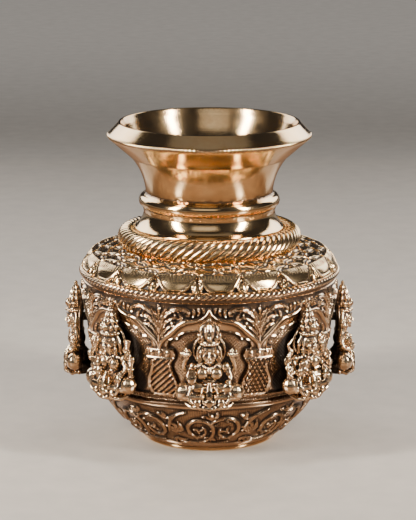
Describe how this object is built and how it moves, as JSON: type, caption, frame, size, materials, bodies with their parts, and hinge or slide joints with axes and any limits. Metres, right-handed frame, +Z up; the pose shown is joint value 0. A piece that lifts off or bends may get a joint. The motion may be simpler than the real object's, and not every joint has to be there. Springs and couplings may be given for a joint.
{
  "type": "brass kalash pot",
  "caption": "Cast and turned brass water pot with a flared neck, a fluted collar and seated figures bolted into arched niches around its belly.",
  "frame": {"origin": "on the pot's axis, in the plane that its foot stands on", "axes": "+Z up along the pot's axis; -Y towards the front niche; +X to the right as seen from the front"},
  "size_m": [0.1712, 0.1712, 0.19],
  "materials": {
    "antique_brass": "satin cast brass with dark brown patina in the recesses",
    "turned_brass": "polished turned brass",
    "trim_brass": "polished cast brass with dark recesses",
    "figure_brass": "satin cast brass with dark recesses",
    "fastener_brass": "plain turned brass"
  },
  "bodies": {
    "root": {"lower_bowl": "antique_brass", "belly_band": "antique_brass", "shoulder": "antique_brass", "foot_ring": "turned_brass", "base_plate": "turned_brass", "neck": "turned_brass", "mouth_rim": "turned_brass", "seam_ring": "trim_brass", "rope_ring": "trim_brass", "gadroon_collar": "trim_brass", "figure_front": "figure_brass", "figure_front_right": "figure_brass", "figure_right": "figure_brass", "figure_back_right": "figure_brass", "figure_back": "figure_brass", "figure_back_left": "figure_brass", "figure_left": "figure_brass", "figure_front_left": "figure_brass", "figure_studs": "fastener_brass", "figure_washers": "fastener_brass", "figure_nuts": "fastener_brass"}
  },
  "joints": []
}
